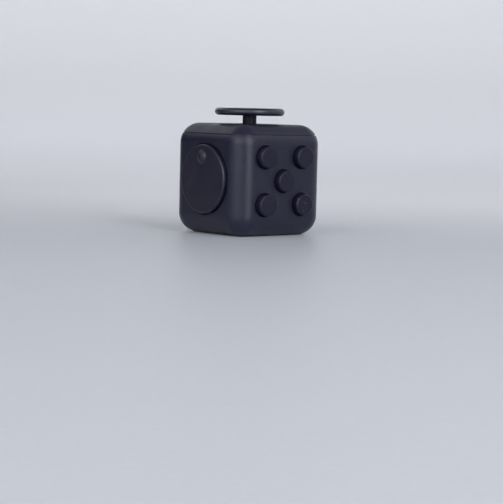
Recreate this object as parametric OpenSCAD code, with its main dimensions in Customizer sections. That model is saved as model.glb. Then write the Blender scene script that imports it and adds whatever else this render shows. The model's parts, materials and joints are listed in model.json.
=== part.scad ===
// Fidget cube: a hand-held desk toy with a different control on each of five faces
// and a thumb dish on the sixth. Millimetres, +Z up, origin at the centre of the base.
// Dial on -Y, buttons on +X, rocker on -X, wheels and ball on +Y, joystick on top.

/* [Case] */
// Outside width, depth and height of the cube
cube_w = 33; // [32.5:0.5:34]
// Radius of the cube's outside edges
edge_r = 6; // [5.5:0.25:6.5]
// Wall thickness of the case
wall = 2; // [1.9:0.1:2.1]
// Thickness of the top cover and of the case's floor
cover_t = 3; // [2.8:0.1:3.2]
// Depth of the thumb dish in the floor
dish_depth = 1.8; // [1.2:0.1:2]

/* [Joystick] */
// Radius of the joystick's disc
disc_r = 10.5; // [9:0.25:10.75]
// Thickness of the joystick's disc
disc_t = 2.2; // [1.8:0.1:2.4]
// Gap between the cube's top and the disc
disc_gap = 2.5; // [2.5:0.1:3]
// Radius of the joystick's stem
stem_r = 2.1; // [1.8:0.1:2.2]

/* [Dial] */
// Radius of the dial's disc
dial_r = 10.3; // [9.5:0.05:10.4]
// How far the dial stands out of its face
dial_proud = 1.2; // [1:0.1:1.4]
// Radius of the raised nub near the dial's edge
nub_r = 2.2; // [2:0.1:2.4]

/* [Buttons] */
// Radius of each button's cap
button_r = 3.2; // [3:0.05:3.3]
// Centre to centre step from the middle button, along each face axis
button_step = 7; // [6.9:0.05:7.1]
// How far a button stands out of its face
button_proud = 2.1; // [1.8:0.1:2.3]
// Button travel
button_travel = 1.1; // [0.8:0.1:1.1]

/* [Rocker] */
// Width of the rocker
rocker_w = 9; // [8.5:0.1:9.1]
// Angle between the two faces of the rocker's shallow valley and its middle plane
rocker_tilt = 7; // [6:0.5:7.5]

/* [Wheels and ball] */
// Outside radius of each click wheel
wheel_r = 5; // [4.8:0.05:5]
// Width of each click wheel
wheel_w = 3.4; // [3:0.1:3.5]
// Grooves round each click wheel
wheel_grooves = 18; // [12:1:20]
// Radius of the rolling ball
ball_r = 4.4; // [4.2:0.05:4.4]

/* [Hidden] */
$fn = 64;
eps = 0.05;
mid = cube_w / 2;
inner = mid - wall;
cavity_r = edge_r - wall;
shell_top = cube_w - cover_t;

// Directions of the four side faces, as a turn about Z from the dial's face
DIAL_FACE = 0;
BUTTON_FACE = 90;
ROLL_FACE = 180;
ROCKER_FACE = 270;

// Colours
case_colour = [0.17, 0.17, 0.2];
control_colour = [0.13, 0.13, 0.16];
steel_colour = [0.72, 0.73, 0.75];
frame_colour = [0.32, 0.33, 0.36];
rubber_colour = [0.55, 0.56, 0.58];

// Screws: one small self-tapping size holds every inner module
screw_r = 0.7;
screw_hole_r = 0.75;
screw_head_r = 1.2;
screw_head_t = 0.7;
boss_r = 1.7;
pilot_end = inner - 1.2;
pilot_spare = 0.2;

// Parting line between the case shell and the top cover
seam_gap = 0.12;
seam_depth = 0.3;
seam_level = edge_r - cover_t;
seam_half = mid - edge_r + sqrt(edge_r * edge_r - seam_level * seam_level) - seam_depth;
seam_r = seam_half - (mid - edge_r);

// Snap hooks on the top cover: [face turn, offset along the face, half width]
HOOKS = [
    [DIAL_FACE, 0, 2.2],
    [BUTTON_FACE, 0, 2.2],
    [ROLL_FACE, 9, 1.3],
    [ROLL_FACE, -9, 1.3],
    [ROCKER_FACE, 6.5, 1.5],
    [ROCKER_FACE, -6.5, 1.5]
];
hook_in = inner - 1.55;
hook_out = inner - 0.65;
hook_len = 3.8;
barb_out = inner - 0.1;
barb_t = 1;
ledge_in = inner - 0.6;
ledge_t = 0.8;
ledge_drop = 1.8;
ledge_margin = 0.3;
lip_t = 0.8;
lip_gap = 0.3;
lip_len = 1;

// Thumb dish: a barrel-shaped cut, so that its rim is an oval
dish_half_x = 9.5;
dish_half_y = 7.5;
dish_round_x = (dish_half_x * dish_half_x + dish_depth * dish_depth) / (2 * dish_depth);
dish_round_y = (dish_half_y * dish_half_y + dish_depth * dish_depth) / (2 * dish_depth);

// Joystick
pivot_z = cube_w - 5;
disc_z = cube_w + disc_gap;
disc_dip_depth = 0.35;
disc_dip_r = disc_r - 1.6;
disc_dip_round = (disc_dip_r * disc_dip_r + disc_dip_depth * disc_dip_depth) / (2 * disc_dip_depth);
spigot_r = 1.4;
spigot_len = 1.2;
hub_r = 2.3;
hub_low = pivot_z - 1.5;
hub_top = pivot_z + 1.6;
neck_r = 1.3;
neck_len = 1.5;
fit_gap = 0.02;
run_gap = 0.06;
pin_r = 0.6;
ring_in = 2.65;
ring_out = 3.7;
ring_half = 1;
pin_inset = 0.1;
dome_out = 4.7;
dome_in = 4;
dome_low = pivot_z + 2.3;
dome_collar_r = 2.8;
seat_r = dome_out + 0.1;
stick_hole_r = 3.4;
stick_lip = 0.3;
housing_in = 4.95;
housing_out = 6.2;
housing_low = pivot_z - 8;
housing_floor = 1;
housing_top = shell_top - 0.1;
flange_r = 9;
flange_t = 1;
housing_screw_at = 5.35;
housing_screw_len = 2.7;
foot_r = 3.4;
foot_z = pivot_z - 3.6;
foot_t = 0.8;
foot_hub_r = 2;
foot_hub_t = 1.2;
foot_pip_r = 1.6;
foot_pip_t = 0.6;
stick_coil_r = 2.7;
stick_wire_r = 0.3;
stick_turns = 4;

// Dial
dial_gap = 0.45;
pocket_depth = 1;
pocket_z = mid - pocket_depth;
dial_back = pocket_z + 0.25;
dial_front = mid + dial_proud;
dial_rim = 0.5;
dial_hub_r = 3;
dial_hub_end = inner - 2.1;
dial_boss_r = 6;
dial_boss_end = inner - 1.9;
nub_at = [-0.3, 6.5];
nub_h = 0.9;
nub_round = (nub_r * nub_r + nub_h * nub_h) / (2 * nub_h);
retainer_r = 4.6;
retainer_t = 0.6;
dial_screw_len = 3.2;

// Buttons: [across, up] in steps from the middle one
BUTTON_TOP_LEFT = [-1, 1];
BUTTON_TOP_RIGHT = [1, 1];
BUTTON_CENTRE = [0, 0];
BUTTON_BOTTOM_LEFT = [-1, -1];
BUTTON_BOTTOM_RIGHT = [1, -1];
BUTTONS = [BUTTON_TOP_LEFT, BUTTON_TOP_RIGHT, BUTTON_CENTRE, BUTTON_BOTTOM_LEFT, BUTTON_BOTTOM_RIGHT];
button_gap = 0.25;
button_round = 0.6;
button_flange_r = button_r + button_gap + 0.35;
button_flange_t = 1;
button_flange_z = inner - 0.1;
plunger_r = 1;
plate_front = inner - 3 - button_travel;
plate_back = plate_front - 1;
plate_half = 9.4;
plate_round = 2;
plate_screw_at = 7.2;
plunger_spare = 0.1;
plunger_tip = plate_front + button_travel + plunger_spare;
dome_r = 2;
dome_h = plunger_tip - plate_front - 0.2;
dome_skin = 0.12;
rubber_skin = 0.45;
hole_lip = 0.1;

// Rocker
rocker_pivot = inner - 1.3;
rocker_arc = 8.15;
rocker_window_arc = 8.3;
rocker_half_h = 7.5;
rocker_corner = 2.4;
window_half_h = 7.9;
window_corner = 2.2;
window_gap = 0.2;
rocker_face = mid + 0.15 - rocker_pivot;
rocker_back = -1.2;
rocker_boss_r = 1.9;
rocker_pin_r = 0.8;
rocker_nose_r = 0.6;
rocker_nose_at = 2.9;
rocker_nose_w = 3;
rocker_skin = 1;
rocker_hollow_at = 4.6;
rocker_hollow_h = 3.4;
rocker_hollow_end = 1.6;
rocker_frame_front = inner - 5.5;
rocker_frame_back = rocker_frame_front - 1;
rocker_frame_half_w = 6.4;
rocker_frame_half_h = 12;
rocker_ear_in = 5.2;
rocker_ear_half_h = 2.2;
rocker_ear_end = inner - 0.2;
rocker_screw_at = 10.4;
leaf_t = 0.2;
leaf_w = 3;

// Upper outline of half the leaf spring: [place along it, height over the frame]
LEAF = [[0, 0.6], [1, 0.35], [2.4, 0.45], [5.5, 0.2], [7, 0.2]];

// Wheels
wheel_pitch = 4.4;
wheel_places = [-1, 0, 1];
wheel_z = inner - 1.8;
wheel_up = 5;
slot_w = wheel_w + 0.4;
slot_r = wheel_r + 0.3;
axle_r = 1;
axle_half = 7.5;
groove_r = 0.45;
groove_at = wheel_r + 0.12;
wheel_chamfer = 0.35;

// Ball
ball_z = inner - 0.9;
ball_up = -6;
ball_seat_r = ball_r + 0.12;
cup_r = 4.6;
cup_seat_r = ball_r + 0.05;
cup_back = ball_z - 3.9;
cup_front = ball_z - 1.6;
ball_coil_r = 3.4;
ball_wire_r = 0.3;
ball_turns = 3;

// Roll bracket
bracket_back = inner - 7.9;
bracket_t = 0.8;
bracket_front = bracket_back + bracket_t;
bracket_low = -11.7;
bracket_high = 11;
cheek_in = 6.5;
cheek_end = inner - 0.6;
cheek_low = 0.5;
cheek_high = 9;
tube_in = 4.7;
tube_out = 5.4;
tube_end = bracket_front + 3.2;
lug_front = inner - 3;
lug_back = lug_front - 0.8;
lug_half_h = 1.9;
lug_end = 11;
bracket_screw_at = 9.2;
comb_base_h = 2.6;
comb_t = 0.2;
comb_half_w = cheek_in - 0.3;
finger_w = 2.4;
finger_z = wheel_up + wheel_r + 0.35;
finger_end = wheel_z - 0.6;
tip_t = 0.25;
tip_w = 0.3;

// ---- Shared shapes ----

// Puts local +Z outwards through the middle of a side face, local +Y up
module on_face(turn) {
    translate([0, 0, mid]) rotate([90, 0, turn]) children();
}

// Cylinder between two levels along local Z
module rod(r, low, high) {
    translate([0, 0, low]) cylinder(r = r, h = high - low);
}

// Cylinder along local X, centred
module cross_rod(r, length) {
    rotate([0, 90, 0]) cylinder(r = r, h = length, center = true);
}

// Box centred in X and Y between two levels
module slab(x, y, low, high) {
    translate([-x / 2, -y / 2, low]) cube([x, y, high - low]);
}

// Quarter of a cylinder, in the quadrant of +X and +Y
module quarter_rod(r, h) {
    rotate_extrude(angle = 90) square([r, h]);
}

// Eighth of a ball, in the octant of +X, +Y and +Z
module ball_octant(r) {
    rotate_extrude(angle = 90) intersection() {
        circle(r);
        square(r);
    }
}

// Upright prism with rounded corners, built from pieces that meet on flat faces
module rounded_prism(x, y, r, low, high) {
    flat_x = x - 2 * r;
    flat_y = y - 2 * r;
    slab(flat_x, y, low, high);
    slab(x, flat_y, low, high);
    for (side_x = [0, 1], side_y = [0, 1]) {
        mirror([side_x, 0, 0]) mirror([0, side_y, 0])
            translate([flat_x / 2, flat_y / 2, low]) quarter_rod(r, high - low);
    }
}

// Cube with rounded edges and ball corners, centred
module rounded_block(size, r) {
    flat = size - 2 * r;
    cube([flat, flat, size], center = true);
    cube([flat, size, flat], center = true);
    cube([size, flat, flat], center = true);
    for (turn = [0:90:270]) {
        for (tip = [[0, 0, 0], [0, 90, 0], [90, 0, 0]]) {
            rotate(tip) rotate([0, 0, turn])
                translate([flat / 2, flat / 2, -flat / 2]) quarter_rod(r, flat);
        }
        for (side = [0, 1]) {
            mirror([0, 0, side]) rotate([0, 0, turn])
                translate([flat / 2, flat / 2, flat / 2]) ball_octant(r);
        }
    }
}

// The cube's whole outside, standing on the base
module case_block() {
    translate([0, 0, mid]) rounded_block(cube_w, edge_r);
}

// Thin groove round the case, just above or below a parting line
module seam_groove(low, high) {
    difference() {
        slab(2 * cube_w, 2 * cube_w, low, high);
        rounded_prism(2 * seam_half, 2 * seam_half, seam_r, low - 1, high + 1);
    }
}

// Disc on Z whose front edge is rounded, built from pieces that meet on flat faces
module round_edged_disc(r, round_r, low, high) {
    rotate_extrude() {
        translate([0, low]) square([r, high - round_r - low]);
        translate([0, high - round_r]) square([r - round_r, round_r]);
        translate([r - round_r, high - round_r]) intersection() {
            circle(round_r);
            square(round_r);
        }
    }
}

// Flat-headed screw: the head's inner side is at local Z = 0 and the shank points to +Z
module screw(length) {
    rod(screw_head_r, -screw_head_t, 0);
    rod(screw_r, 0, length);
}

// Closed tube swept round a helix with flat ends, as one mesh
module coil(coil_r, wire_r, low, high, turns) {
    sides = 6;
    steps = 14;
    rings = turns * steps;
    rise = high - low - 2 * wire_r;
    points = [for (i = [0:rings]) let (a = 360 * i / steps, z = low + wire_r + rise * i / rings)
        for (j = [0:sides - 1]) let (b = 360 * j / sides, r = coil_r + wire_r * cos(b))
            [r * cos(a), r * sin(a), z + wire_r * sin(b)]];
    walls = [for (i = [0:rings - 1]) for (j = [0:sides - 1]) let (k = (j + 1) % sides)
        [i * sides + j, i * sides + k, (i + 1) * sides + k, (i + 1) * sides + j]];
    start_cap = [for (j = [sides - 1:-1:0]) j];
    end_cap = [for (j = [0:sides - 1]) rings * sides + j];
    polyhedron(points = points, faces = concat(walls, [start_cap, end_cap]), convexity = 10);
}

// ---- Case ----

module catch_ledges() {
    for (hook = HOOKS) {
        rotate([0, 0, hook[0]])
            translate([hook[1] - hook[2] - ledge_margin, -inner - eps, shell_top - ledge_drop - ledge_t])
                cube([2 * (hook[2] + ledge_margin), inner - ledge_in + eps, ledge_t]);
    }
}

module screw_boss(x, y, end) {
    translate([x, y, 0]) rod(boss_r, end, inner + eps);
}

module screw_pilot(x, y, end) {
    translate([x, y, 0]) rod(screw_hole_r, end - eps, pilot_end);
}

module case_bosses() {
    on_face(DIAL_FACE) rod(dial_boss_r, dial_boss_end, inner + eps);
    for (side = [-1, 1]) {
        on_face(BUTTON_FACE) screw_boss(0, side * plate_screw_at, plate_front);
        on_face(ROCKER_FACE) screw_boss(0, side * rocker_screw_at, rocker_frame_front);
        on_face(ROLL_FACE) screw_boss(side * bracket_screw_at, wheel_up, lug_front);
    }
    catch_ledges();
}

module case_pilots() {
    for (side = [-1, 1]) {
        on_face(BUTTON_FACE) screw_pilot(0, side * plate_screw_at, plate_front);
        on_face(ROCKER_FACE) screw_pilot(0, side * rocker_screw_at, rocker_frame_front);
        on_face(ROLL_FACE) screw_pilot(side * bracket_screw_at, wheel_up, lug_front);
    }
}

module dial_opening() {
    rod(dial_r + dial_gap, pocket_z, mid + 1);
    rod(dial_hub_r + run_gap, dial_boss_end - eps, mid);
}

module button_openings() {
    for (place = BUTTONS) {
        translate([place[0] * button_step, place[1] * button_step, 0]) {
            rod(button_r + button_gap, inner - 1, mid + 1);
            translate([0, 0, mid - hole_lip])
                cylinder(r1 = button_r + button_gap, r2 = button_r + button_gap + 2 * hole_lip,
                    h = 2 * hole_lip);
        }
    }
}

module rocker_opening() {
    intersection() {
        rounded_prism(rocker_w + 2 * window_gap, 2 * window_half_h, window_corner, inner - 1, mid + 1);
        translate([0, 0, rocker_pivot]) cross_rod(rocker_window_arc, 2 * rocker_w);
    }
}

module roll_openings() {
    for (place = wheel_places) {
        translate([place * wheel_pitch, wheel_up, wheel_z]) cross_rod(slot_r, slot_w);
    }
    translate([0, ball_up, ball_z]) sphere(r = ball_seat_r);
}

// Barrel on X whose crown is a long arc, for the thumb dish
module dish_barrel() {
    rotate([0, 90, 0]) rotate_extrude() intersection() {
        translate([dish_round_y - dish_round_x, 0]) circle(r = dish_round_x, $fn = 160);
        translate([0, -mid]) square([cube_w, cube_w]);
    }
}

// Floor and four walls in one piece, open at the top
module case_shell() {
    color(case_colour) difference() {
        union() {
            difference() {
                intersection() {
                    case_block();
                    slab(2 * cube_w, 2 * cube_w, -1, shell_top);
                }
                rounded_prism(2 * inner, 2 * inner, cavity_r, cover_t, cube_w);
            }
            case_bosses();
        }
        case_pilots();
        on_face(DIAL_FACE) dial_opening();
        on_face(BUTTON_FACE) button_openings();
        on_face(ROCKER_FACE) rocker_opening();
        on_face(ROLL_FACE) roll_openings();
        translate([0, 0, dish_depth - dish_round_y]) dish_barrel();
        seam_groove(shell_top - seam_gap, shell_top + 1);
    }
}

// Hooks and locating lip under the top cover, whose inner side is at Z = 0 here
module cover_fastenings() {
    for (hook = HOOKS) {
        rotate([0, 0, hook[0]]) translate([hook[1] - hook[2], 0, 0]) {
            translate([0, -hook_out, -hook_len])
                cube([2 * hook[2], hook_out - hook_in, hook_len + eps]);
            translate([0, -barb_out, -hook_len])
                cube([2 * hook[2], barb_out - hook_in, barb_t]);
        }
    }
    difference() {
        rounded_prism(2 * (inner - lip_gap), 2 * (inner - lip_gap), cavity_r - lip_gap, -lip_len, eps);
        rounded_prism(2 * (inner - lip_gap - lip_t), 2 * (inner - lip_gap - lip_t),
            cavity_r - lip_gap - lip_t, -lip_len - 1, 1);
    }
}

module top_cover() {
    color(case_colour) difference() {
        union() {
            intersection() {
                case_block();
                slab(2 * cube_w, 2 * cube_w, shell_top, 2 * cube_w);
            }
            translate([0, 0, shell_top]) cover_fastenings();
        }
        rod(stick_hole_r, pivot_z, cube_w + 1);
        translate([0, 0, cube_w - stick_lip])
            cylinder(r1 = stick_hole_r, r2 = stick_hole_r + 2 * stick_lip, h = 2 * stick_lip);
        translate([0, 0, pivot_z]) sphere(r = seat_r);
        for (x = [-1, 1], y = [-1, 1]) {
            translate([x * housing_screw_at, y * housing_screw_at, 0])
                rod(screw_hole_r, shell_top - 1, housing_top - flange_t + housing_screw_len + pilot_spare);
        }
        seam_groove(shell_top, shell_top + seam_gap);
    }
}

// ---- Joystick ----

module joystick_cap() {
    color(control_colour) translate([0, 0, disc_z]) difference() {
        rotate_extrude() {
            square([disc_r - disc_t / 2, disc_t]);
            translate([disc_r - disc_t / 2, disc_t / 2]) intersection() {
                circle(disc_t / 2);
                translate([0, -disc_t]) square(2 * disc_t);
            }
        }
        rod(spigot_r + fit_gap, -1, spigot_len + fit_gap);
        translate([0, 0, disc_t - disc_dip_depth + disc_dip_round]) sphere(r = disc_dip_round, $fn = 400);
    }
}

module joystick_stem() {
    color(control_colour) difference() {
        union() {
            rod(neck_r, hub_low - neck_len, hub_low);
            rod(hub_r, hub_low, hub_top);
            rod(stem_r, hub_top, disc_z);
            rod(spigot_r, disc_z, disc_z + spigot_len);
        }
        translate([0, 0, pivot_z]) rotate([90, 0, 0])
            cylinder(r = pin_r + fit_gap, h = 3 * hub_r, center = true);
    }
}

module joystick_dome() {
    color(control_colour) difference() {
        intersection() {
            translate([0, 0, pivot_z]) sphere(r = dome_out);
            union() {
                rod(dome_out + 1, dome_low, cube_w);
                rod(dome_collar_r, hub_top, dome_low + eps);
            }
        }
        difference() {
            translate([0, 0, pivot_z]) sphere(r = dome_in);
            rod(dome_collar_r, pivot_z, cube_w);
        }
        rod(stem_r + fit_gap, hub_top - 1, cube_w);
    }
}

module joystick_cross_pin() {
    color(steel_colour) translate([0, 0, pivot_z]) rotate([90, 0, 0])
        cylinder(r = pin_r, h = 2 * ring_out, center = true);
}

module joystick_foot() {
    color(frame_colour) difference() {
        union() {
            rod(foot_pip_r, foot_z - foot_pip_t, foot_z);
            rod(foot_r, foot_z, foot_z + foot_t);
            rod(foot_hub_r, foot_z + foot_t, foot_z + foot_t + foot_hub_t);
        }
        rod(neck_r + fit_gap, hub_low - neck_len - fit_gap, hub_low);
    }
}

module gimbal_ring() {
    color(steel_colour) difference() {
        rod(ring_out, pivot_z - ring_half, pivot_z + ring_half);
        rod(ring_in, pivot_z - 2 * ring_half, pivot_z + 2 * ring_half);
        translate([0, 0, pivot_z]) rotate([90, 0, 0])
            cylinder(r = pin_r + run_gap, h = 3 * ring_out, center = true);
        translate([0, 0, pivot_z]) cross_rod(pin_r + fit_gap, 3 * ring_out);
    }
}

module gimbal_pins() {
    color(steel_colour) for (side = [-1, 1]) {
        translate([side * (ring_in + housing_out) / 2, 0, pivot_z])
            cross_rod(pin_r, housing_out - ring_in - 2 * pin_inset);
    }
}

module joystick_housing() {
    color(frame_colour) difference() {
        union() {
            rod(housing_out, housing_low, housing_top);
            rod(flange_r, housing_top - flange_t, housing_top);
        }
        rod(housing_in, housing_low + housing_floor, housing_top + 1);
        translate([0, 0, pivot_z]) cross_rod(pin_r + run_gap, 3 * housing_out);
        for (x = [-1, 1], y = [-1, 1]) {
            translate([x * housing_screw_at, y * housing_screw_at, 0])
                rod(screw_hole_r, housing_top - 2 * flange_t, housing_top + 1);
        }
    }
}

module joystick_spring() {
    color(steel_colour) coil(stick_coil_r, stick_wire_r, housing_low + housing_floor, foot_z, stick_turns);
}

module joystick_housing_screws() {
    color(steel_colour) for (x = [-1, 1], y = [-1, 1]) {
        translate([x * housing_screw_at, y * housing_screw_at, housing_top - flange_t])
            screw(housing_screw_len);
    }
}

// ---- Dial ----

// Domed nub that a fingertip turns the dial by
module dial_nub() {
    translate([nub_at[0], nub_at[1], dial_front]) intersection() {
        translate([0, 0, nub_h - nub_round]) sphere(r = nub_round);
        rod(nub_r + eps, -dial_rim, nub_h);
    }
}

module dial() {
    color(control_colour) on_face(DIAL_FACE) difference() {
        union() {
            round_edged_disc(dial_r, dial_rim, dial_back, dial_front);
            rod(dial_hub_r, dial_hub_end, dial_back + eps);
            dial_nub();
        }
        rod(screw_hole_r, dial_hub_end - 1, dial_hub_end + dial_screw_len - retainer_t + pilot_spare);
    }
}

module dial_retainer() {
    color(steel_colour) on_face(DIAL_FACE) difference() {
        rod(retainer_r, dial_hub_end - retainer_t, dial_hub_end);
        rod(screw_hole_r, dial_hub_end - 2, dial_hub_end + 1);
    }
}

module dial_screw() {
    color(steel_colour) on_face(DIAL_FACE)
        translate([0, 0, dial_hub_end - retainer_t]) screw(dial_screw_len);
}

// ---- Buttons ----

module at_button(place) {
    on_face(BUTTON_FACE) translate([place[0] * button_step, place[1] * button_step, 0]) children();
}

module button(place) {
    color(control_colour) at_button(place) {
        round_edged_disc(button_r, button_round, button_flange_z - eps, mid + button_proud);
        rod(button_flange_r, button_flange_z - button_flange_t, button_flange_z);
        rod(plunger_r, plunger_tip, button_flange_z - button_flange_t + eps);
    }
}

// Shallow spring dome standing on the switch plate
module plate_dome(place, skin) {
    round_r = (dome_r * dome_r + dome_h * dome_h) / (2 * dome_h);
    at_button(place) difference() {
        intersection() {
            translate([0, 0, plate_front + dome_h - round_r]) sphere(r = round_r);
            slab(3 * dome_r, 3 * dome_r, plate_front, plate_front + 2 * dome_h);
        }
        translate([0, 0, plate_front + dome_h - round_r]) sphere(r = round_r - skin);
    }
}

module click_dome(place) {
    color(steel_colour) plate_dome(place, dome_skin);
}

module soft_dome(place) {
    color(rubber_colour) plate_dome(place, rubber_skin);
}

module switch_plate() {
    color(frame_colour) on_face(BUTTON_FACE) difference() {
        rounded_prism(2 * plate_half, 2 * plate_half, plate_round, plate_back, plate_front);
        for (side = [-1, 1]) {
            translate([0, side * plate_screw_at, 0]) rod(screw_hole_r, plate_back - 1, plate_front + 1);
        }
    }
}

module switch_plate_screws() {
    color(steel_colour) for (side = [-1, 1]) {
        on_face(BUTTON_FACE) translate([0, side * plate_screw_at, plate_back])
            screw(pilot_end - pilot_spare - plate_back);
    }
}

// ---- Rocker ----

// Rocker about its pin, level, before it is tipped to its resting stop
module rocker_level() {
    big = 4 * rocker_arc;
    difference() {
        union() {
            intersection() {
                cross_rod(rocker_arc, 2 * rocker_w);
                rounded_prism(rocker_w, 2 * rocker_half_h, rocker_corner, rocker_back, rocker_arc);
            }
            cross_rod(rocker_boss_r, rocker_w);
            slab(rocker_nose_w, 2 * rocker_nose_r, -rocker_nose_at, rocker_back);
            translate([0, 0, -rocker_nose_at]) cross_rod(rocker_nose_r, rocker_nose_w);
        }
        intersection() {
            rotate([rocker_tilt, 0, 0]) slab(big, big, rocker_face, big);
            rotate([-rocker_tilt, 0, 0]) slab(big, big, rocker_face, big);
        }
        for (side = [-1, 1]) {
            translate([0, side * rocker_hollow_at, 0])
                slab(rocker_w - 2 * rocker_skin, rocker_hollow_h, rocker_back - 1, rocker_hollow_end);
        }
        cross_rod(rocker_pin_r + run_gap, 2 * rocker_w);
    }
}

module rocker() {
    color(control_colour) on_face(ROCKER_FACE)
        translate([0, 0, rocker_pivot]) rotate([rocker_tilt, 0, 0]) rocker_level();
}

module rocker_pin() {
    color(steel_colour) on_face(ROCKER_FACE)
        translate([0, 0, rocker_pivot]) cross_rod(rocker_pin_r, 2 * rocker_frame_half_w);
}

module rocker_frame() {
    color(frame_colour) on_face(ROCKER_FACE) difference() {
        union() {
            rounded_prism(2 * rocker_frame_half_w, 2 * rocker_frame_half_h, plate_round,
                rocker_frame_back, rocker_frame_front);
            for (side = [-1, 1]) {
                translate([side * (rocker_ear_in + rocker_frame_half_w) / 2, 0, 0])
                    slab(rocker_frame_half_w - rocker_ear_in, 2 * rocker_ear_half_h,
                        rocker_frame_front - eps, rocker_ear_end);
            }
        }
        translate([0, 0, rocker_pivot]) cross_rod(rocker_pin_r + fit_gap, 4 * rocker_w);
        for (side = [-1, 1]) {
            translate([0, side * rocker_screw_at, 0])
                rod(screw_hole_r, rocker_frame_front - 3, rocker_frame_front + 1);
        }
    }
}

// Thin strip with a low hump in its middle, so that the rocker's nose rests on either side
module rocker_leaf_spring() {
    upper = concat([for (i = [len(LEAF) - 1:-1:1]) [-LEAF[i][0], LEAF[i][1]]], LEAF);
    lower = [for (i = [len(upper) - 1:-1:0]) [upper[i][0], upper[i][1] - leaf_t]];
    color(steel_colour) on_face(ROCKER_FACE) translate([-leaf_w / 2, 0, rocker_frame_front])
        rotate([90, 0, 90]) linear_extrude(leaf_w) polygon(concat(upper, lower));
}

module rocker_frame_screws() {
    color(steel_colour) for (side = [-1, 1]) {
        on_face(ROCKER_FACE) translate([0, side * rocker_screw_at, rocker_frame_back])
            screw(pilot_end - pilot_spare - rocker_frame_back);
    }
}

// ---- Wheels and ball ----

// Click wheel on local X with chamfered rims and grooves across its tread
module wheel(place) {
    color(control_colour) on_face(ROLL_FACE) translate([place * wheel_pitch, wheel_up, wheel_z])
        rotate([0, 90, 0]) difference() {
            union() {
                rod(wheel_r, -wheel_w / 2 + wheel_chamfer, wheel_w / 2 - wheel_chamfer);
                for (side = [0, 1]) {
                    mirror([0, 0, side]) translate([0, 0, wheel_w / 2 - wheel_chamfer])
                        cylinder(r1 = wheel_r, r2 = wheel_r - wheel_chamfer, h = wheel_chamfer);
                }
            }
            rod(axle_r + run_gap, -wheel_w, wheel_w);
            for (turn = [0:360 / wheel_grooves:359]) {
                rotate([0, 0, turn]) translate([groove_at, 0, 0]) rod(groove_r, -wheel_w, wheel_w);
            }
        }
}

module wheel_axle() {
    color(steel_colour) on_face(ROLL_FACE) translate([0, wheel_up, wheel_z])
        cross_rod(axle_r, 2 * axle_half);
}

// Comb of three leaf fingers, one over each wheel
module wheel_click_spring() {
    color(steel_colour) on_face(ROLL_FACE) {
        translate([0, finger_z - comb_base_h / 2 + comb_t / 2, 0])
            slab(2 * comb_half_w, comb_base_h, bracket_front, bracket_front + comb_t);
        for (place = wheel_places) {
            translate([place * wheel_pitch, finger_z, 0])
                slab(finger_w, comb_t, bracket_front, finger_end);
            translate([place * wheel_pitch, finger_z - tip_t / 2, 0])
                slab(finger_w, tip_t + comb_t, finger_end - tip_w, finger_end);
        }
    }
}

module roll_bracket() {
    color(frame_colour) on_face(ROLL_FACE) difference() {
        union() {
            translate([0, (bracket_low + bracket_high) / 2, 0])
                slab(2 * axle_half, bracket_high - bracket_low, bracket_back, bracket_front);
            for (side = [-1, 1]) {
                translate([side * (cheek_in + axle_half) / 2, (cheek_low + cheek_high) / 2, 0])
                    slab(axle_half - cheek_in, cheek_high - cheek_low, bracket_back, cheek_end);
                translate([side * (cheek_in + lug_end) / 2, wheel_up, 0])
                    slab(lug_end - cheek_in, 2 * lug_half_h, lug_back, lug_front);
            }
            translate([0, ball_up, 0]) rod(tube_out, bracket_back, tube_end);
        }
        translate([0, ball_up, 0]) rod(tube_in, bracket_front, tube_end + 1);
        translate([0, wheel_up, wheel_z]) cross_rod(axle_r + fit_gap, 4 * axle_half);
        for (side = [-1, 1]) {
            translate([side * bracket_screw_at, wheel_up, 0]) rod(screw_hole_r, lug_front - 2, lug_front + 1);
        }
    }
}

module roll_bracket_screws() {
    color(steel_colour) for (side = [-1, 1]) {
        on_face(ROLL_FACE)
            translate([side * bracket_screw_at, wheel_up, lug_back])
                screw(pilot_end - pilot_spare - lug_back);
    }
}

module ball() {
    color(control_colour) on_face(ROLL_FACE) translate([0, ball_up, ball_z]) sphere(r = ball_r);
}

module ball_cup() {
    color(frame_colour) on_face(ROLL_FACE) translate([0, ball_up, 0]) difference() {
        rod(cup_r, cup_back, cup_front);
        translate([0, 0, ball_z]) sphere(r = cup_seat_r);
    }
}

module ball_spring() {
    color(steel_colour) on_face(ROLL_FACE) translate([0, ball_up, 0])
        coil(ball_coil_r, ball_wire_r, bracket_front, cup_back, ball_turns);
}

case_shell();
top_cover();
joystick_cap();
joystick_stem();
joystick_dome();
joystick_cross_pin();
joystick_foot();
gimbal_ring();
gimbal_pins();
joystick_housing();
joystick_spring();
joystick_housing_screws();
dial();
dial_retainer();
dial_screw();
button(BUTTON_TOP_LEFT);  // button_top_left
button(BUTTON_TOP_RIGHT);  // button_top_right
button(BUTTON_CENTRE);  // button_centre
button(BUTTON_BOTTOM_LEFT);  // button_bottom_left
button(BUTTON_BOTTOM_RIGHT);  // button_bottom_right
click_dome(BUTTON_TOP_LEFT);  // click_dome_top_left
click_dome(BUTTON_CENTRE);  // click_dome_centre
click_dome(BUTTON_BOTTOM_RIGHT);  // click_dome_bottom_right
soft_dome(BUTTON_TOP_RIGHT);  // soft_dome_top_right
soft_dome(BUTTON_BOTTOM_LEFT);  // soft_dome_bottom_left
switch_plate();
switch_plate_screws();
rocker();
rocker_pin();
rocker_frame();
rocker_leaf_spring();
rocker_frame_screws();
wheel(-1);  // wheel_left
wheel(0);  // wheel_middle
wheel(1);  // wheel_right
wheel_axle();
wheel_click_spring();
roll_bracket();
roll_bracket_screws();
ball();
ball_cup();
ball_spring();
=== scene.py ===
"""Looks for the fidget cube: materials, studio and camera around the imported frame. Metres, +Z up."""

import json
import math

import bpy
from mathutils import Matrix, Vector


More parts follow.
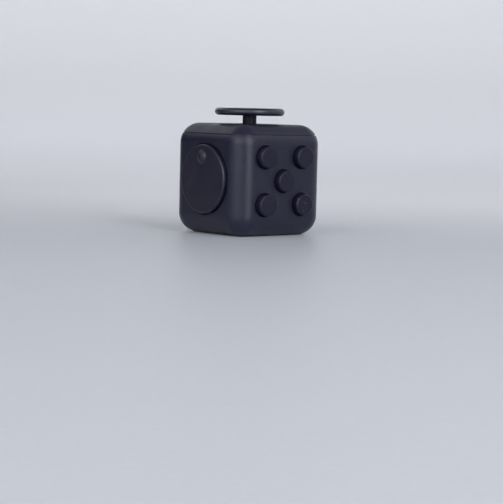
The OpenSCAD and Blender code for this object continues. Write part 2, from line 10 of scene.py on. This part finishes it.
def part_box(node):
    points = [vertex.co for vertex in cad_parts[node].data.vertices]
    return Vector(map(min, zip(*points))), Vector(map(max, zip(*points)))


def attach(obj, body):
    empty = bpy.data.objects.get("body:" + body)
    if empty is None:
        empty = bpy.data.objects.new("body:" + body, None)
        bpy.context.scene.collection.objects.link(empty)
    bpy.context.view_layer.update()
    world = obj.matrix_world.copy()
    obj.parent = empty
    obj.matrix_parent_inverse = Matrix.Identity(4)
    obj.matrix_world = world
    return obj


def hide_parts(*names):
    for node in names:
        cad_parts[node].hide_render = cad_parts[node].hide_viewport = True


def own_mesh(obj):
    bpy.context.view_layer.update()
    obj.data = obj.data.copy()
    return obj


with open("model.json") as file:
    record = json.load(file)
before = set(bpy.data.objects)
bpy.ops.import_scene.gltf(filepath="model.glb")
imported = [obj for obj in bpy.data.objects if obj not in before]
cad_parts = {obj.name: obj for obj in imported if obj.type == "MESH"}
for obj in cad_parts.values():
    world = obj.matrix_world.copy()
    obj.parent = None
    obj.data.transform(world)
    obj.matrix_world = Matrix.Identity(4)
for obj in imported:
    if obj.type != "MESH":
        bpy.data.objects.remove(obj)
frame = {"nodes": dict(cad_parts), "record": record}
scene = bpy.context.scene
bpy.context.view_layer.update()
nodes = frame["nodes"]

MM = 0.001
CUBE_HALF = 16.5 * MM
CASE_ROUND = 6 * MM
CASE_CENTRE = Vector((0, 0, CUBE_HALF))
SEED_STEP = Vector((37, 19, -23)) * MM
UNIT = {"X": (1, 0, 0), "Y": (0, 1, 0), "Z": (0, 0, 1)}
ORIGIN = Vector((0, 0, 0))
UP = Vector((0, 0, 1))


# ---- Node graphs ----


def add_node(tree, kind, inputs=(), **settings):
    """A new node, with its settings made and each input linked to a socket or given a value."""
    made = tree.nodes.new(kind)
    for key, value in settings.items():
        setattr(made, key, value)
    for key, value in dict(inputs).items():
        if isinstance(value, bpy.types.NodeSocket):
            tree.links.new(value, made.inputs[key])
        else:
            made.inputs[key].default_value = value
    return made


def smooth_range(tree, value, low, high, to_low, to_high):
    """Maps low..high smoothly onto to_low..to_high, clamped."""
    inputs = {"Value": value, "From Min": low, "From Max": high, "To Min": to_low, "To Max": to_high}
    return add_node(tree, "ShaderNodeMapRange", inputs, interpolation_type="SMOOTHSTEP").outputs["Result"]


class Graph:
    """One material's node tree, read by the row frame's own coordinates so that it rides with the piece."""

    def __init__(self, name):
        self.material = bpy.data.materials.new(name)
        self.material.use_nodes = True
        self.tree = self.material.node_tree
        self.tree.nodes.clear()
        output = self.tree.nodes.new("ShaderNodeOutputMaterial")
        self.shader = self.tree.nodes.new("ShaderNodeBsdfPrincipled")
        self.tree.links.new(self.shader.outputs[0], output.inputs["Surface"])
        self.place = self.tree.nodes.new("ShaderNodeTexCoord").outputs["Object"]

    def node(self, kind, inputs=(), **settings):
        return add_node(self.tree, kind, inputs, **settings)

    def maths(self, operation, *values):
        return self.node("ShaderNodeMath", enumerate(values), operation=operation).outputs[0]

    def vector(self, operation, *values):
        return self.node("ShaderNodeVectorMath", enumerate(values), operation=operation)

    def offset(self, shift):
        """The coordinates moved by a distance in metres."""
        return self.vector("ADD", self.place, shift).outputs[0]

    def noise(self, size, detail, rough, seed=0.0, stretch=(1, 1, 1)):
        """Noise from 0 to 1 whose cells are about size metres across."""
        place = self.vector("MULTIPLY", self.offset(SEED_STEP * seed), stretch).outputs[0]
        return self.node(
            "ShaderNodeTexNoise",
            {"Vector": place, "Scale": 1 / size, "Detail": detail, "Roughness": rough},
        ).outputs["Fac"]

    def spread(self, value, low, high, to_low=0.0, to_high=1.0):
        return smooth_range(self.tree, value, low, high, to_low, to_high)

    def mix(self, factor, first, second):
        inputs = {0: factor, 6: first, 7: second}
        return self.node("ShaderNodeMix", inputs, data_type="RGBA").outputs[2]

    def total(self, *values):
        result = values[0]
        for value in values[1:]:
            result = self.maths("ADD", result, value)
        return result

    def specks(self, cell, radius, share, seed=0.0, stretch=(1, 1, 1)):
        """Small round spots, one at most in each cell, in the given share of the cells."""
        place = self.vector("MULTIPLY", self.offset(SEED_STEP * seed), stretch).outputs[0]
        found = self.node("ShaderNodeTexVoronoi", {"Vector": place, "Scale": 1 / cell, "Randomness": 0.9})
        pick = self.node("ShaderNodeSeparateColor", {0: found.outputs["Color"]})
        size = self.maths("MULTIPLY", pick.outputs[1], radius / cell)
        near = self.maths("LESS_THAN", found.outputs["Distance"], size)
        chosen = self.maths("LESS_THAN", pick.outputs[0], share)
        return self.maths("MULTIPLY", near, chosen)

    def bump(self, height, depth, strength, below=None):
        inputs = {"Height": height, "Distance": depth, "Strength": strength}
        if below is not None:
            inputs["Normal"] = below
        return self.node("ShaderNodeBump", inputs).outputs["Normal"]

    def set(self, **sockets):
        for key, value in sockets.items():
            socket = self.shader.inputs[key.replace("_", " ")]
            if isinstance(value, bpy.types.NodeSocket):
                self.tree.links.new(value, socket)
            else:
                socket.default_value = value


def rgb(red, green, blue):
    """A full colour from its three linear parts."""
    return (red, green, blue, 1)


def scaled(tone, factor):
    """A tone made lighter or darker."""
    return [factor * part for part in tone[:3]] + [1]


# ---- Masks ----

EDGE_START, EDGE_FULL = 0.12, 0.5
RIM_INNER_SHARE = 0.2


def case_edges(graph):
    """1 along the cube's rounded edges and corners, 0 on its flat faces."""
    place = graph.vector("SUBTRACT", graph.place, CASE_CENTRE).outputs[0]
    place = graph.vector("ABSOLUTE", place).outputs[0]
    flat = CUBE_HALF - CASE_ROUND
    place = graph.vector("SUBTRACT", place, (flat, flat, flat)).outputs[0]
    place = graph.vector("MAXIMUM", place, (0, 0, 0)).outputs[0]
    place = graph.node("ShaderNodeVectorMath", {0: place, "Scale": 1 / CASE_ROUND}, operation="SCALE")
    parts = graph.node("ShaderNodeSeparateXYZ", {0: place.outputs[0]}).outputs
    pairs = [graph.maths("MULTIPLY", parts[a], parts[b]) for a, b in ((0, 1), (1, 2), (2, 0))]
    return graph.spread(graph.total(*pairs), EDGE_START, EDGE_FULL)


def radius_from(graph, centre, axis):
    """Distance in metres from the line through centre along axis."""
    place = graph.vector("SUBTRACT", graph.place, centre).outputs[0]
    keep = [0 if unit else 1 for unit in UNIT[axis]]
    return graph.vector("LENGTH", graph.vector("MULTIPLY", place, keep).outputs[0]).outputs["Value"]


def rim(node, axis, width, inset=0.0):
    """A mask of the outer rim of a round node, from its own box."""

    def mask(graph):
        low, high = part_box(node)
        centre = (low + high) / 2
        across = {"X": (1, 2), "Y": (0, 2), "Z": (0, 1)}[axis]
        reach = max(high[i] - low[i] for i in across) / 2 - inset
        return graph.spread(radius_from(graph, centre, axis), reach - width, reach - RIM_INNER_SHARE * width)

    return mask


# ---- Materials ----

SMUDGE_SIZE = 7 * MM
CLOUD_SIZE = 2.2 * MM
RUB_SIZE = 1.6 * MM
COARSE_GRAIN = 3.5
COARSE_DEPTH = 2.2
WORN_LIFT = 1.8
WORN_SHARE = 0.25
DUST_CELL = 1.3 * MM
DUST_RADIUS = 0.11 * MM
DUST_TONE = rgb(0.32, 0.33, 0.36)
LINE_SIZE = 0.06 * MM
LINE_DEPTH = 0.002 * MM
LINE_STRETCH = 0.06
STAIN_SIZE = 1.8 * MM
STAIN_SHADE = 0.72
BLOOM_SIZE = 1.2 * MM
BLOOM_LIFT = 1.3
SILICONE_GRAIN = 0.09 * MM
SILICONE_DEPTH = 0.003 * MM
SILICONE_SCATTER = (0.9 * MM, 0.8 * MM, 0.7 * MM)


def moulded(name, dark, light, rough, grain, depth, wear=None, seed=0.0, dust=0.02, shine=0.42, extra=None):
    """Moulded plastic: two close tones, an etched grain, rubbed edges, finger smudges and a little dust."""
    graph = Graph(name)
    smudge = graph.spread(graph.noise(SMUDGE_SIZE, 4, 0.6, seed), 0.35, 0.7)
    cloud = graph.noise(CLOUD_SIZE, 3, 0.55, seed + 1)
    fine = graph.noise(grain, 2, 0.6, seed + 2)
    coarse = graph.noise(COARSE_GRAIN * grain, 2, 0.5, seed + 3)
    tone = graph.total(graph.maths("MULTIPLY", cloud, 0.45), graph.maths("MULTIPLY", fine, 0.55))
    colour = graph.mix(graph.spread(tone, 0.3, 0.7), dark, light)
    gloss = graph.total(
        graph.spread(smudge, 0, 1, rough + 0.05, rough - 0.05),
        graph.spread(cloud, 0.3, 0.7, -0.03, 0.03),
    )
    if wear is not None:
        rubbed = graph.spread(graph.noise(RUB_SIZE, 4, 0.65, seed + 4), 0.25, 0.75, 0.45, 1.0)
        rubbed = graph.maths("MULTIPLY", wear(graph), rubbed)
        colour = graph.mix(graph.maths("MULTIPLY", rubbed, WORN_SHARE), colour, scaled(light, WORN_LIFT))
        gloss = graph.total(gloss, graph.maths("MULTIPLY", rubbed, -0.03))
    if extra is not None:
        colour, gloss = extra(graph, colour, gloss)
    specks = graph.specks(DUST_CELL, DUST_RADIUS, dust, seed)
    colour = graph.mix(graph.maths("MULTIPLY", specks, 0.55), colour, DUST_TONE)
    gloss = graph.total(gloss, graph.maths("MULTIPLY", specks, 0.3))
    surface = graph.bump(coarse, COARSE_DEPTH * depth, 0.6)
    surface = graph.bump(fine, depth, 0.8, surface)
    graph.set(Base_Color=colour, Roughness=gloss, Normal=surface, Specular_IOR_Level=shine)
    return graph.material


def steel(name, tone, rough, along, seed=0.0):
    """Drawn or turned steel with fine lines along one axis."""
    graph = Graph(name)
    stretch = [LINE_STRETCH if unit else 1 for unit in UNIT[along]]
    lines = graph.noise(LINE_SIZE, 3, 0.6, seed, stretch=stretch)
    stain = graph.noise(STAIN_SIZE, 4, 0.6, seed + 1)
    colour = graph.mix(graph.spread(stain, 0.35, 0.7), tone, scaled(tone, STAIN_SHADE))
    gloss = graph.total(
        graph.spread(lines, 0.3, 0.7, rough - 0.07, rough + 0.09),
        graph.spread(stain, 0.4, 0.8, 0, 0.12),
    )
    graph.set(Base_Color=colour, Metallic=1.0, Roughness=gloss, Normal=graph.bump(lines, LINE_DEPTH, 0.5))
    return graph.material


def silicone(name, tone, seed=0.0):
    """Matt moulded silicone with a faint bloom."""
    graph = Graph(name)
    bloom = graph.noise(BLOOM_SIZE, 4, 0.6, seed)
    colour = graph.mix(graph.spread(bloom, 0.35, 0.65), tone, scaled(tone, BLOOM_LIFT))
    gloss = graph.spread(bloom, 0.3, 0.7, 0.5, 0.66)
    height = graph.noise(SILICONE_GRAIN, 2, 0.5, seed + 1)
    graph.set(Base_Color=colour, Roughness=gloss, Normal=graph.bump(height, SILICONE_DEPTH, 0.7))
    graph.set(Subsurface_Weight=0.25, Subsurface_Radius=SILICONE_SCATTER, Subsurface_Scale=1.0)
    return graph.material


CASE_GRAIN, CASE_DEPTH = 0.13 * MM, 0.004 * MM
CASE_DARK = rgb(0.0088, 0.0093, 0.0235)
CASE_LIGHT = rgb(0.0125, 0.0130, 0.0310)
CONTROL_GRAIN, CONTROL_DEPTH = 0.09 * MM, 0.0022 * MM
CONTROL_DARK = rgb(0.0066, 0.0056, 0.0185)
CONTROL_LIGHT = rgb(0.0088, 0.0082, 0.0235)

NUB = CASE_CENTRE + Vector((-0.3, -17.7, 6.5)) * MM
# Painted sheen on the dial: a lighter diagonal streak painted into its colour, starting at the nub.
STREAK_COS, STREAK_SIN = 0.82, 0.57
STREAK_CORE, STREAK_EDGE = 0.4 * MM, 1.5 * MM
STREAK_START, STREAK_RISEN = 2 * MM, 5 * MM
STREAK_FADING, STREAK_END = 9 * MM, 14 * MM
STREAK_BREAKS = 0.9 * MM
# The lighter colour of the dial's painted sheen.
SHEEN_STREAK_TONE = rgb(0.034, 0.033, 0.046)
CRUMB_CELL = 0.75 * MM
CRUMB_RADIUS = 0.3 * MM
CRUMB_SHARE = 0.34
CRUMB_BREAKS = 0.22 * MM
CRUMB_TONE = rgb(0.16, 0.17, 0.21)


def dial_painted_sheen(graph, colour, gloss):
    """A painted sheen: a streak of lighter colour, with slightly lower roughness, from the dial's nub towards
    its lower left.
    """
    from_nub = graph.vector("SUBTRACT", graph.place, NUB).outputs[0]
    parts = graph.node("ShaderNodeSeparateXYZ", {0: from_nub}).outputs
    across = graph.total(
        graph.maths("MULTIPLY", parts[0], STREAK_COS),
        graph.maths("MULTIPLY", parts[2], -STREAK_SIN),
    )
    along = graph.total(
        graph.maths("MULTIPLY", parts[0], -STREAK_SIN),
        graph.maths("MULTIPLY", parts[2], -STREAK_COS),
    )
    across = graph.maths("ABSOLUTE", across)
    band = graph.spread(across, STREAK_CORE, STREAK_EDGE, 1, 0)
    band = graph.maths("MULTIPLY", band, graph.spread(along, STREAK_START, STREAK_RISEN))
    band = graph.maths("MULTIPLY", band, graph.spread(along, STREAK_FADING, STREAK_END, 1, 0))
    broken = graph.noise(STREAK_BREAKS, 3, 0.6, 5.0, stretch=(1, 1, 0.3))
    band = graph.maths("MULTIPLY", band, graph.spread(broken, 0.35, 0.7, 0.2, 1))
    gloss = graph.total(gloss, graph.maths("MULTIPLY", band, -0.06))
    # Painted sheen: the streak lightens the dial's colour.
    return graph.mix(graph.maths("MULTIPLY", band, 0.4), colour, SHEEN_STREAK_TONE), gloss


def dusty(graph, colour, gloss):
    """Scuffs and pale crumbs of dust on a much used button."""
    marks = graph.specks(CRUMB_CELL, CRUMB_RADIUS, CRUMB_SHARE, 2.0, (1, 1.3, 0.8))
    broken = graph.spread(graph.noise(CRUMB_BREAKS, 2, 0.6, 7.0), 0.45, 0.6)
    marks = graph.maths("MULTIPLY", marks, broken)
    colour = graph.mix(graph.maths("MULTIPLY", marks, 0.8), colour, CRUMB_TONE)
    return colour, graph.total(gloss, graph.maths("MULTIPLY", marks, 0.15))


def paint(node, material):
    """Gives a node's mesh its one material."""
    mesh = nodes[node].data
    mesh.materials.clear()
    mesh.materials.append(material)


case = moulded("case_soft_touch", CASE_DARK, CASE_LIGHT, 0.38, CASE_GRAIN, CASE_DEPTH, case_edges)
for node in ("case_shell", "top_cover"):
    paint(node, case)

controls = {
    "joystick_cap": dict(wear=rim("joystick_cap", "Z", 1.2 * MM), rough=0.34, seed=11.0, shine=0.72),
    "joystick_stem": dict(rough=0.36, seed=12.0, shine=0.24),
    "joystick_dome": dict(rough=0.4, seed=13.0),
    # The dial carries a painted sheen streak.
    "dial": dict(wear=rim("dial", "Y", 1.0 * MM), rough=0.36, shine=0.52, seed=14.0, extra=dial_painted_sheen),
    "rocker": dict(rough=0.42, seed=15.0),
    "ball": dict(rough=0.3, seed=16.0),
}
for n, button in enumerate(("top_left", "top_right", "centre", "bottom_left", "bottom_right")):
    controls["button_" + button] = dict(
        wear=rim("button_" + button, "X", 0.9 * MM, 0.45 * MM),
        rough=0.42,
        shine=0.3,
        seed=20.0 + n,
        extra=dusty if button == "bottom_right" else None,
    )
for n, wheel in enumerate(("left", "middle", "right")):
    controls["wheel_" + wheel] = dict(wear=rim("wheel_" + wheel, "X", 0.5 * MM), rough=0.4, seed=30.0 + n)
for node, facts in controls.items():
    name = node + "_plastic"
    plastic = moulded(name, CONTROL_DARK, CONTROL_LIGHT, grain=CONTROL_GRAIN, depth=CONTROL_DEPTH, **facts)
    paint(node, plastic)

FRAME_GRAIN, FRAME_DEPTH = 0.16 * MM, 0.005 * MM
FRAME_DARK = rgb(0.060, 0.063, 0.070)
FRAME_LIGHT = rgb(0.085, 0.089, 0.098)
inner = moulded("inner_nylon", FRAME_DARK, FRAME_LIGHT, 0.55, FRAME_GRAIN, FRAME_DEPTH, seed=40.0, dust=0.0)
for node in ("joystick_housing", "joystick_foot", "switch_plate", "rocker_frame", "roll_bracket", "ball_cup"):
    paint(node, inner)

STEEL_TONE = rgb(0.62, 0.61, 0.60)
pressed = steel("sheet_steel", STEEL_TONE, 0.3, "Z", 50.0)
for along in "XYZ":
    steel("drawn_steel_" + along.lower(), STEEL_TONE, 0.24, along, 51.0)
drawn = {
    "X": ("gimbal_pins", "wheel_axle", "switch_plate_screws", "rocker_frame_screws"),
    "Y": (
        "joystick_cross_pin",
        "rocker_pin",
        "dial_screw",
        "dial_retainer",
        "roll_bracket_screws",
        "ball_spring",
    ),
    "Z": ("joystick_housing_screws", "joystick_spring", "gimbal_ring"),
}
for along, names in drawn.items():
    for node in names:
        paint(node, bpy.data.materials["drawn_steel_" + along.lower()])
for node in ("rocker_leaf_spring", "wheel_click_spring"):
    paint(node, pressed)
for node in ("click_dome_top_left", "click_dome_centre", "click_dome_bottom_right"):
    paint(node, pressed)

SILICONE_TONE = rgb(0.42, 0.43, 0.45)
rubber = silicone("dome_silicone", SILICONE_TONE, 60.0)
for node in ("soft_dome_top_right", "soft_dome_bottom_left"):
    paint(node, rubber)


# ---- Springs and domes copied onto the case ----


def flexing(node):
    """A copy of a spring or dome node's mesh, attached to the case, with the node itself hidden."""
    piece = bpy.data.objects.new(node + "_flexing", nodes[node].data.copy())
    scene.collection.objects.link(piece)
    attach(piece, "case")
    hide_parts(node)
    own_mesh(piece)


for joint in frame["record"]["behaviour"]["joints"]:
    for spring in joint.get("deforming_nodes", []):
        along = spring["mode"][-1]
        if joint["type"] == "slide":
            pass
        elif spring["node"] == "joystick_spring":
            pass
        else:
            continue
        flexing(spring["node"])


# ---- Studio ----

CAMERA_TURN = 50.955
AIM = CASE_CENTRE

BOWL_FLAT, BOWL_BEND, BOWL_TOP = 0.60, 0.50, 0.62
FIBRE_SIZE = 1.5 * MM
NEAR_END, FAR_START = -50 * MM, 220 * MM
WALL_START = 60 * MM
SHEEN_END = 25 * MM
# Painted shade and light on the floor: darker tones in front of the cube, lighter ones behind it.
NEAR_PAINTED_SHADE_TONES = rgb(0.570, 0.605, 0.655), rgb(0.585, 0.620, 0.670)
FAR_PAINTED_LIGHT_TONES = rgb(0.870, 0.895, 0.940), rgb(0.885, 0.910, 0.955)
WALL_TONES = rgb(0.785, 0.803, 0.835), rgb(0.800, 0.818, 0.850)

CARD_TURN = CAMERA_TURN - 114
CARD_DISTANCE, CARD_WIDTH, CARD_HEIGHT = 0.30, 0.36, 0.16
CARD_FOOT = 2 * MM
CARD_TONE = rgb(0.060, 0.045, 0.070)
NAP_SIZE = 0.8 * MM
NAP_LIFT = 1.2

LAMP_DISTANCE = 0.62
LIGHT = (0.925, 0.918, 0.940)
GLOWS = (
    (CAMERA_TURN - 5, 1.5),
    (CAMERA_TURN + 80, 0.84),
    (CAMERA_TURN + 175, 0.15),
    (CAMERA_TURN - 95, 0.64),
)
GLOW_REACH = 0.75
BAND_TOP = 0.58
BAND_FADE = 0.24
ZENITH = 0.21

scene.view_settings.view_transform = "Standard"
scene.view_settings.look = "None"


def around(turn, rise, distance, centre=AIM):
    """A place round the cube. Turn 0 is in front of the dial's face and grows towards the buttons' face."""
    a, e = math.radians(turn), math.radians(rise)
    return centre + distance * Vector((math.sin(a) * math.cos(e), -math.cos(a) * math.cos(e), math.sin(e)))


def studio_bowl(flat, bend, top, segments=96, floor_rings=6, bend_rings=16, wall_rings=4):
    """Floor that curves up all round into a wall, as one smooth surface of revolution."""
    profile = [(flat * n / floor_rings, 0.0) for n in range(1, floor_rings + 1)]
    for n in range(1, bend_rings + 1):
        a = math.pi / 2 * n / bend_rings
        profile.append((flat + bend * math.sin(a), bend * (1 - math.cos(a))))
    profile += [(flat + bend, bend + (top - bend) * n / wall_rings) for n in range(1, wall_rings + 1)]
    points = [(0.0, 0.0, 0.0)]
    for radius, height in profile:
        for n in range(segments):
            turn = 2 * math.pi * n / segments
            points.append((radius * math.cos(turn), radius * math.sin(turn), height))
    faces = [(0, 1 + n, 1 + (n + 1) % segments) for n in range(segments)]
    for ring in range(len(profile) - 1):
        first = 1 + ring * segments
        for n in range(segments):
            after = (n + 1) % segments
            faces.append((first + n, first + segments + n, first + segments + after, first + after))
    mesh = bpy.data.meshes.new("studio_bowl")
    mesh.from_pydata(points, [], faces)
    mesh.polygons.foreach_set("use_smooth", [True] * len(faces))
    bowl = bpy.data.objects.new("studio_bowl", mesh)
    scene.collection.objects.link(bowl)
    return bowl


def backdrop_paper():
    """Pale paper whose floor colour is painted darker in front of the cube and lighter behind it, as painted
    shade and light, and which has no sheen on the wall.
    """
    paper = Graph("backdrop_paper")
    fibre = paper.spread(paper.noise(FIBRE_SIZE, 3, 0.6), 0.3, 0.7)
    height = paper.node("ShaderNodeSeparateXYZ", {0: paper.place}).outputs["Z"]
    behind = around(CAMERA_TURN + 180, 0, 1, ORIGIN)
    depth = paper.vector("DOT_PRODUCT", paper.place, behind).outputs["Value"]
    # Painted shade and light: the floor's colour runs from darker in front of the cube to lighter behind it.
    floor = paper.mix(
        paper.spread(depth, NEAR_END, FAR_START),
        paper.mix(fibre, *NEAR_PAINTED_SHADE_TONES),
        paper.mix(fibre, *FAR_PAINTED_LIGHT_TONES),
    )
    wall = paper.mix(fibre, *WALL_TONES)
    paper.set(
        Base_Color=paper.mix(paper.spread(height, 0.0, WALL_START), floor, wall),
        Roughness=0.45,
        Specular_IOR_Level=paper.spread(height, 0.0, SHEEN_END, 0.6, 0.0),
    )
    return paper.material


def studio_sky(glows, band_top, zenith, colour):
    """A sky with a bright band low down, made of wide glows at the given turns, and a dimmer top."""
    world = bpy.data.worlds.new("studio_sky")
    world.use_nodes = True
    tree = world.node_tree
    background = tree.nodes["Background"]

    def maths(operation, *values):
        return add_node(tree, "ShaderNodeMath", enumerate(values), operation=operation).outputs[0]

    towards = add_node(tree, "ShaderNodeTexCoord").outputs["Generated"]
    rise = add_node(tree, "ShaderNodeSeparateXYZ", {0: towards}).outputs["Z"]
    strength = 0.0
    for turn, power in glows:
        middle = around(turn, 0, 1, ORIGIN)
        facing = add_node(tree, "ShaderNodeVectorMath", {0: towards, 1: middle}, operation="DOT_PRODUCT")
        glow = smooth_range(tree, facing.outputs["Value"], 0.0, GLOW_REACH, 0.0, power)
        strength = maths("ADD", strength, glow)
    band = smooth_range(tree, rise, band_top, band_top + BAND_FADE, 1.0, 0.0)
    strength = maths("ADD", maths("MULTIPLY", strength, band), zenith)
    tree.links.new(strength, background.inputs["Strength"])
    background.inputs["Color"].default_value = colour
    scene.world = world


def softbox(name, turn, rise, distance, width, height, power, colour):
    """A rectangular lamp that faces the cube."""
    light = bpy.data.lights.new(name, "AREA")
    light.shape = "RECTANGLE"
    light.size, light.size_y = width, height
    light.energy, light.color = power, colour
    lamp = bpy.data.objects.new(name, light)
    lamp.location = around(turn, rise, distance)
    lamp.rotation_mode = "QUATERNION"
    lamp.rotation_quaternion = (AIM - lamp.location).to_track_quat("-Z", "Y")
    lamp.visible_camera = False
    scene.collection.objects.link(lamp)


def dark_card(turn, distance, width, height, colour):
    """An upright card that keeps light off one side of the cube. The camera looks through it."""
    centre = around(turn, 0, distance, ORIGIN)
    along = around(turn + 90, 0, width / 2, ORIGIN)
    foot, head = UP * CARD_FOOT, UP * height
    corners = [centre - along + foot, centre + along + foot, centre + along + head, centre - along + head]
    mesh = bpy.data.meshes.new("dark_card")
    mesh.from_pydata(corners, [], [(0, 1, 2, 3)])
    card = bpy.data.objects.new("dark_card", mesh)
    card.visible_camera = False
    scene.collection.objects.link(card)
    felt = Graph("dark_felt")
    nap = felt.noise(NAP_SIZE, 3, 0.6, 90.0)
    felt.set(Base_Color=felt.mix(nap, colour, scaled(colour, NAP_LIFT)), Roughness=0.9)
    mesh.materials.append(felt.material)
    return card


bowl = studio_bowl(BOWL_FLAT, BOWL_BEND, BOWL_TOP)
bowl.data.materials.append(backdrop_paper())
card = dark_card(CARD_TURN, CARD_DISTANCE, CARD_WIDTH, CARD_HEIGHT, CARD_TONE)

studio_sky(GLOWS, BAND_TOP, ZENITH, rgb(*LIGHT))
softbox("key_softbox", CAMERA_TURN + 33, 19, LAMP_DISTANCE, 0.26, 0.42, 1.7, LIGHT)
softbox("fill_softbox", CAMERA_TURN - 30, 14, LAMP_DISTANCE, 0.55, 0.40, 1.15, LIGHT)


# ---- Camera ----

CAMERA_DISTANCE = 0.520
CAMERA_RISE = 2.477
YAW, PITCH, ROLL = -0.168, 4.928, 1.329
SENSOR = 36.0
LENS = 122.65
CLIP_START, CLIP_END = 0.01, 10.0

camera = bpy.data.objects.new("camera", bpy.data.cameras.new("camera"))
camera.data.sensor_width = SENSOR
camera.data.lens = LENS
camera.data.clip_start = CLIP_START
camera.data.clip_end = CLIP_END
heading, dip = math.radians(CAMERA_TURN + YAW), math.radians(PITCH)
forward = Vector((-math.sin(heading) * math.cos(dip), math.cos(heading) * math.cos(dip), -math.sin(dip)))
right = forward.cross(UP).normalized()
up = right.cross(forward)
tip = math.radians(ROLL)
right, up = right * math.cos(tip) + up * math.sin(tip), up * math.cos(tip) - right * math.sin(tip)
turned = Matrix((right, up, -forward)).transposed().to_4x4()
camera.matrix_world = Matrix.Translation(around(CAMERA_TURN, CAMERA_RISE, CAMERA_DISTANCE)) @ turned
scene.collection.objects.link(camera)
scene.camera = camera
